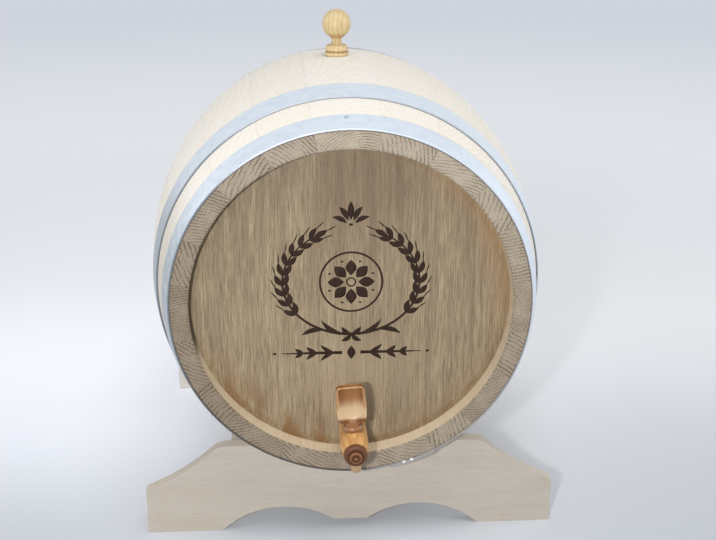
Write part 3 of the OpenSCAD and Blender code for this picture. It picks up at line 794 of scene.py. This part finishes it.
def beech_finish(name, turn, pith, seed, lightened):
    """Beech whose grain is turned along a piece, and lightened by a share as painted light."""
    low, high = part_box(name)
    finish = Finish("beech_" + name, roughness=0.66, specular=0.3)
    spot = finish.place((low + high) / 2, turn)
    wood = Timber(finish, spot, pith, ring_mm=5.5, seed=seed)
    shade = finish.step(wood.fibre, 0.3, 0.75) * 0.6 + wood.late * 0.25
    colour = finish.mix(shade, BEECH, BEECH_SHADE)
    colour = finish.mix(wood.pore * 0.35, colour, BEECH_FLECK)
    # painted light: the rear board and the rails are lightened
    finish.shade("Base Color", finish.mix(lightened, colour, BEECH_LIT))
    finish.bump(wood.fibre * 0.7 - wood.pore * 0.5, 0.08)
    return finish


for name, turn, pith, seed, lightened in (
    ("cradle_front_board", ALONG_X, (-160, -45), 71, 0.0),
    ("cradle_rear_board", ALONG_X, (140, 60), 73, 0.6),
    ("cradle_left_rail", ALONG_Y, (35, -90), 75, 0.15),
    ("cradle_right_rail", ALONG_Y, (-45, -70), 77, 0.15),
    ("cradle_dowels", ALONG_Y, (60, -200), 79, 0.0),
    ("front_head_dowels", ALONG_X, (60, -200), 81, 0.0),
    ("rear_head_dowels", ALONG_X, (60, -200), 83, 0.0),
):
    beech_finish(name, turn, pith, seed, lightened).on(name)
    print(name, "finished")

# %% Cork for the sleeve
CORK_LIGHT = paint(186, 142, 96)
CORK_DARK = paint(120, 82, 50)

cork = Finish("cork", roughness=0.8)
cells = cork.noise(cork.place((0, KEY_Y, TAP_Z)), (1.1, 1.1, 1.1), detail=4)
cork.shade("Base Color", cork.mix(cork.step(cells, 0.35, 0.65), CORK_LIGHT, CORK_DARK))
cork.bump(cells, 0.1)
cork.on("tap_cork_sleeve")
print("cork finished")

# %% [markdown]
# ## The burnt ornament
#
# The front head carries a burnt ornament: two barley stalks bent into an open wreath round
# an eight-petalled flower, with a fan of leaves above and a leafy line below. It could be
# a mask in the head's own material, but that would be hundreds of nodes. A burning tool
# draws strokes that start thin, swell and end thin again, so the whole ornament is made of
# strokes: lines of points with a width at each point. A curve with round bevel gives each
# stroke its body; the curve is then made a mesh and pressed flat on the head.
#
# Positions are millimetres on the head, from the cask's axis, to the right and up.

# %% Strokes of the burning tool
# the width of a stroke where the tool is set down and lifted
THINNEST = 0.25
LEAF_STEPS = 9
UPRIGHT = math.pi / 2

ornament = bpy.data.curves.new("burnt_ornament", "CURVE")
ornament.dimensions = "3D"
ornament.bevel_depth = MM
ornament.bevel_resolution = 2
ornament.use_fill_caps = True


def stroke(points, widths):
    """Adds a line through points, as wide in millimetres at each as widths says."""
    line = ornament.splines.new("POLY")
    line.points.add(len(points) - 1)
    for spot, (x, z), width in zip(line.points, points, widths):
        spot.co = (x * MM, 0, z * MM, 1)
        spot.radius = width / 2


def leaf(x, z, direction, length, widest, bend=0.0):
    """A pointed grain or petal from (x, z), bent sideways by a share of its length."""
    points = []
    widths = []
    for i in range(LEAF_STEPS):
        share = i / (LEAF_STEPS - 1)
        swell = math.sin(math.pi * share)
        forward = share * length
        sideways = bend * length * swell
        points.append((
            x + forward * math.cos(direction) - sideways * math.sin(direction),
            z + forward * math.sin(direction) + sideways * math.cos(direction),
        ))
        widths.append(THINNEST + (widest - THINNEST) * swell)
    stroke(points, widths)


def dot(x, z, size):
    """A stroke so short that its round body is all there is."""
    stroke([(x, z - size * 0.3), (x, z), (x, z + size * 0.3)], (size * 0.7, size, size * 0.7))


def point_at(x, z, direction, distance):
    """The point at a distance from (x, z)."""
    return x + distance * math.cos(direction), z + distance * math.sin(direction)


print("stroke tools are ready")

# %% The wreath of barley
WREATH_X, WREATH_Z = 0, 14
WREATH_WIDE, WREATH_HIGH = 44, 36
STEM_FROM, STEM_TO = math.radians(-106), math.radians(58)
STEM_STEPS = 30
STEM_THICK, STEM_THINNING = 2.0, 1.1
# each blade: the share of the stem where it starts, its length and how far it turns away
BLADES = ((0.14, 17, 0.5), (0.24, 15, -0.55))
BLADE_WIDE, BLADE_BEND = 3.4, 0.12
# the ear starts at a share of the stem and fills another share of it with pairs of grains
EAR_FROM, EAR_SHARE, EAR_PAIRS = 0.42, 0.55, 9
GRAIN_LONG, GRAIN_WIDE, GRAIN_LEAN = 9.2, 3.7, 0.48
BRISTLE_LONG, BRISTLE_WIDE, BRISTLE_LEAN = 7.5, 0.8, 0.20
BRISTLE_FROM = 8.0
# the grain at the tip of the ear is longer, and so is its bristle
TIP_LONG, TIP_BRISTLE = 9.5, 8


def on_stem(side, share):
    """A place on a stalk, and the direction in which the stalk grows there."""
    angle = STEM_FROM + (STEM_TO - STEM_FROM) * share
    x = WREATH_X + side * WREATH_WIDE * math.cos(angle)
    z = WREATH_Z + WREATH_HIGH * math.sin(angle)
    heading = math.atan2(WREATH_HIGH * math.cos(angle), -side * WREATH_WIDE * math.sin(angle))
    return x, z, heading


def grain(x, z, heading, turn, length, bristle):
    """A grain that leans out to one side of the ear, and the bristle at its tip."""
    outwards = heading + turn * GRAIN_LEAN
    leaf(x, z, outwards, length, GRAIN_WIDE, bend=turn * 0.05)
    tip = point_at(x, z, outwards, BRISTLE_FROM)
    leaf(*tip, heading + turn * BRISTLE_LEAN, bristle, BRISTLE_WIDE)


def barley(side):
    """One stalk of the wreath: a bent stem, two blades, and an ear of paired grains."""
    shares = [i / STEM_STEPS for i in range(STEM_STEPS + 1)]
    points = [on_stem(side, share)[:2] for share in shares]
    stroke(points, [STEM_THICK - STEM_THINNING * share for share in shares])
    for share, length, turn in BLADES:
        x, z, heading = on_stem(side, share)
        bend = -side * math.copysign(BLADE_BEND, turn)
        leaf(x, z, heading + side * turn, length, BLADE_WIDE, bend)
    for i in range(EAR_PAIRS):
        x, z, heading = on_stem(side, EAR_FROM + EAR_SHARE * i / (EAR_PAIRS - 1))
        for turn in (-1, 1):
            grain(x, z, heading, turn, GRAIN_LONG, BRISTLE_LONG)
    grain(*on_stem(side, 1.0), 0, TIP_LONG, TIP_BRISTLE)


print("a stalk has", 2 * EAR_PAIRS + 1, "grains")

# %% The flower, the fan of leaves and the leafy line
PETALS = 8
PETAL_FROM, PETAL_WIDE = 4.6, 7.0
FLOWER_R, EYE_R, RIM_R = 15, 2.8, 20
# leaves of the half fan: where they start, to the side and up, how far they lean from
# upright, their length, width and bend
FAN = ((1.8, 55.0, 0.55, 10.5, 3.6, 0.08), (2.6, 53.4, 1.15, 10.0, 3.2, 0.10))
LINE_Z = -35
LINE_FROM, LINE_TO = 6, 46
# pairs of leaves on the line: where they start and how long they are
LINE_LEAVES = ((11, 10.5), (22, 8.5), (31, 6.5))
LINE_LEAN = 0.55
KNOT_Z = -22


def circle(radius, sides, width):
    """A closed line round the middle of the flower."""
    turns = [math.tau * i / sides for i in range(sides + 1)]
    stroke([point_at(WREATH_X, WREATH_Z, turn, radius) for turn in turns], [width] * len(turns))


def flower():
    """Petals with dots between them, round an eye and within a rim."""
    for i in range(PETALS):
        angle = math.tau * i / PETALS
        root = point_at(WREATH_X, WREATH_Z, angle, PETAL_FROM)
        leaf(*root, angle, FLOWER_R - PETAL_FROM, PETAL_WIDE)
        dot(*point_at(WREATH_X, WREATH_Z, angle + math.pi / PETALS, FLOWER_R), 1.9)
    circle(EYE_R, 20, 1.0)
    circle(RIM_R, 60, 1.3)


def half_fan(side):
    """The leaves at one side above the opening of the wreath."""
    for out, up, lean, length, widest, bend in FAN:
        leaf(side * out, up, UPRIGHT - side * lean, length, widest, side * bend)


def half_line(side):
    """One half of the line below the wreath, with pairs of leaves and a dot at its end."""
    places = (LINE_FROM, (LINE_FROM + LINE_TO) / 2, LINE_TO)
    stroke([(side * place, LINE_Z) for place in places], (2.2, 1.8, 0.4))
    facing = 0 if side > 0 else math.pi
    for reach, length in LINE_LEAVES:
        for turn in (-LINE_LEAN, LINE_LEAN):
            leaf(side * reach, LINE_Z, facing + turn, length, 2.8, bend=-0.16 * turn)
    dot(side * (LINE_TO + 4), LINE_Z, 2.4)


for side in (-1, 1):
    barley(side)
    half_fan(side)
    half_line(side)
flower()
# the middle leaf of the fan, with a dot below it, and a leaf in the gap of the line
leaf(0, 55.6, UPRIGHT, 12, 4.2)
dot(0, 52.4, 2.6)
leaf(0, LINE_Z - 4.6, UPRIGHT, 9.2, 5.4)
# a knot of four leaves ties the stalks where they cross
for turn in (-2.2, -0.9, 0.9, 2.2):
    leaf(0, KNOT_Z, UPRIGHT + turn, 8, 3.2, bend=math.copysign(0.12, turn))
dot(0, KNOT_Z, 3.6)
print(len(ornament.splines), "strokes")

# %% Press the strokes flat on the head
FLATNESS = 0.04
PROUD = 0.03 * MM
ONE_PLACE = 0.001 * MM

burnt = bpy.data.objects.new("burnt_ornament", ornament)
bpy.context.collection.objects.link(burnt)
burnt.location = (0, HEAD_Y - PROUD, AXIS_Z)
burnt.scale = (1, FLATNESS, 1)
bpy.context.view_layer.objects.active = burnt
burnt.select_set(True)
bpy.ops.object.convert(target="MESH")
burnt = bpy.context.view_layer.objects.active
bpy.ops.object.transform_apply(location=True, rotation=True, scale=True)
bpy.ops.object.mode_set(mode="EDIT")
bpy.ops.mesh.select_all(action="SELECT")
bpy.ops.mesh.remove_doubles(threshold=ONE_PLACE)
bpy.ops.mesh.normals_make_consistent(inside=False)
bpy.ops.object.mode_set(mode="OBJECT")
bpy.ops.object.shade_smooth()
burnt.select_set(False)
print(len(burnt.data.polygons), "faces in the ornament")

# %% [markdown]
# Burnt wood is not black: the heat browns it, and the grain still shows, because the soft
# bands burn deeper than the hard ones. A flat black would look printed, so the char gets
# fibres of its own.

# %% The burnt finish
CHAR = paint(36, 22, 16)
SCORCH = paint(72, 50, 34)

char = Finish("burnt_oak", roughness=0.7, specular=0.2)
spot = char.place((0, HEAD_Y, AXIS_Z), turn=(math.pi / 2, 0, 0))
wood = Timber(char, spot, pith=(10, -90), ring_mm=4.2, seed=33)
scorched = char.step(wood.fibre, 0.45, 0.8) * 0.6 + wood.streak * 0.3
char.shade("Base Color", char.mix(scorched, CHAR, SCORCH))
char.bump(wood.fibre, 0.05)
burnt.data.materials.append(char.material)
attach(burnt, "cask")
print("ornament burnt")

# %% [markdown]
# ## Floor
#
# The photograph was taken in front of pale seamless paper. The floor here is one wide
# sheet, and its far parts stand for the paper that curves up behind: they take no light
# and glow evenly, a little darker with the distance. Near the cask the paper glows too,
# behind it more than in front and most at its left, as the light in the room lay there.
#
# A real curve of paper could be modelled, but its brightness would then hang on every
# lamp. A glow by position is set once, and the shadows near the cask stay real.

# %% The floor
FLOOR_SIZE = 14
PAPER_NEAR = paint(188, 193, 200)
PAPER = paint(238, 239, 242)
BACKDROP = paint(222, 226, 231)
BACKDROP_FAR = paint(204, 208, 217)
NO_COLOUR = (0, 0, 0, 1)
GLOW_FRONT = (0.035, 0.035, 0.035, 1)
GLOW_BEHIND = (0.085, 0.085, 0.09, 1)
GLOW_LEFT = (0.25, 0.26, 0.30, 1)
# millimetres out from the middle of the floor
BACKDROP_OUT = (350, 1250)
BACKDROP_FAR_OUT = (900, 3000)
# millimetres away from the camera
PAPER_AWAY = (-260, 330)
BEHIND_AWAY = (-60, 160)
# the glow at the left: where it starts and ends to the left, and grows and fades behind
LEFT_START, LEFT_END = (-60, -135), (-700, -300)
LEFT_AWAY, LEFT_FADING = (-160, 80), (100, 450)
HAZE_MM = 160

bpy.ops.mesh.primitive_grid_add(x_subdivisions=8, y_subdivisions=8, size=FLOOR_SIZE)
floor = bpy.context.object
floor.name = "paper_floor"
floor.select_set(False)

paper = Finish("seamless_paper", roughness=0.9, specular=0.1)
spot = paper.place((0, 0, 0))
right, away, _ = paper.axes(spot)
far = paper.hypot(right, away)
haze = paper.noise(spot, (0.002, 0.002, 0.002), detail=1) * HAZE_MM - HAZE_MM / 2
backdrop = paper.step(far, *BACKDROP_OUT)
# painted shade: the paper is darker towards the camera
sheet = paper.mix(paper.step(away + haze, *PAPER_AWAY), PAPER_NEAR, PAPER)
paper.shade("Base Color", paper.mix(backdrop, sheet, NO_COLOUR))

left = paper.step(right, *LEFT_START) * paper.step(away, *LEFT_AWAY)
left = left * (1 - paper.step(away, *LEFT_FADING) * 0.55) * paper.step(right, *LEFT_END)
glow = paper.mix(paper.step(away, *BEHIND_AWAY), GLOW_FRONT, GLOW_BEHIND)
glow = paper.mix(left, glow, GLOW_LEFT)
drop = paper.mix(paper.step(far + haze, *BACKDROP_FAR_OUT), BACKDROP, BACKDROP_FAR)
paper.shade("Emission Color", paper.mix(backdrop, glow, drop))
paper.shade("Emission Strength", 1.0)
floor.data.materials.append(paper.material)
print("floor laid")

# %% [markdown]
# ## Light
#
# A small flash just left of the camera gives the crisp shadow beside the tap, and soft
# light comes from all round. The world gives the soft light, and three wide lamps, above
# and at both sides, lift the staves. Shiny pieces mirror the lit walls of the room, which
# soft light alone hardly shows, and the camera sees walls as pale as the far end of the
# sheet. Walls could be modelled for both. The Light Path node does it in three levels of
# one world: one for light, one for mirrored rays and one for what the camera sees.

# %% The world
AMBIENT = 0.29
AMBIENT_IN_METAL = 0.85
AMBIENT_SEEN = 0.67
ROOM_TINT = (0.93, 0.97, 1.0, 1)

world = bpy.data.worlds.new("soft_room")
bpy.context.scene.world = world
world.use_nodes = True
room = world.node_tree.nodes["Background"]
room.inputs["Color"].default_value = ROOM_TINT
ray = world.node_tree.nodes.new("ShaderNodeLightPath")
level = None
for output, value in (("Is Glossy Ray", AMBIENT_IN_METAL), ("Is Camera Ray", AMBIENT_SEEN)):
    add = world.node_tree.nodes.new("ShaderNodeMath")
    add.operation = "MULTIPLY_ADD"
    add.inputs[1].default_value = value - AMBIENT
    add.inputs[2].default_value = AMBIENT
    world.node_tree.links.new(ray.outputs[output], add.inputs[0])
    if level is not None:
        world.node_tree.links.new(level, add.inputs[2])
    level = add.outputs[0]
world.node_tree.links.new(level, room.inputs["Strength"])
print("the world lights by", AMBIENT, "and is seen at", AMBIENT_SEEN)

# %% The lamps


def direction(azimuth, elevation):
    """A unit vector; azimuth 0 points at the viewer and minus to the left, in radians."""
    level = math.cos(elevation)
    return Vector((math.sin(azimuth) * level, -math.cos(azimuth) * level, math.sin(elevation)))


def lamp(name, azimuth, elevation, distance, size, watts):
    """A round lamp that looks at the cask from azimuth and elevation in degrees."""
    data = bpy.data.lights.new(name, "AREA")
    data.shape = "DISK"
    data.size = size
    data.energy = watts
    hung = bpy.data.objects.new(name, data)
    bpy.context.collection.objects.link(hung)
    away = direction(math.radians(azimuth), math.radians(elevation))
    hung.location = CASK_MIDDLE + away * distance
    hung.rotation_euler = (-away).to_track_quat("-Z", "Y").to_euler()
    print(name, "at", [round(v, 2) for v in hung.location])


lamp("flash", azimuth=-9.9, elevation=16.6, distance=0.84, size=0.04, watts=3.1)
lamp("top_lamp", azimuth=15, elevation=70, distance=3.0, size=1.8, watts=38)
lamp("left_lamp", azimuth=-100, elevation=14, distance=2.6, size=1.6, watts=14)
lamp("right_lamp", azimuth=95, elevation=18, distance=2.6, size=1.6, watts=18)

# %% [markdown]
# ## Camera
#
# The camera stands where the photograph was taken. It could be moved by eye until the
# picture fits, but place, turn and lens trade against each other. So they were solved
# together, from the outlines of the hoops, the chime and the cradle.

# %% The camera
CAMERA_AT = Vector((-0.0349, -0.7712, 0.4323))
CAMERA_YAW = math.radians(3.41)
CAMERA_PITCH = math.radians(-19.61)
LENS_MM = 55.3
SENSOR_MM = 36

camera_data = bpy.data.cameras.new("camera")
camera_data.lens = LENS_MM
camera_data.sensor_width = SENSOR_MM
camera = bpy.data.objects.new("camera", camera_data)
bpy.context.collection.objects.link(camera)
camera.location = CAMERA_AT
# yaw turns it to the right, away from the lamps' azimuth 180, which is straight ahead
look = direction(math.pi - CAMERA_YAW, CAMERA_PITCH)
camera.rotation_euler = look.to_track_quat("-Z", "Y").to_euler()
bpy.context.scene.camera = camera
bpy.context.scene.view_settings.view_transform = "Standard"
print("camera looks along", [round(v, 3) for v in look])
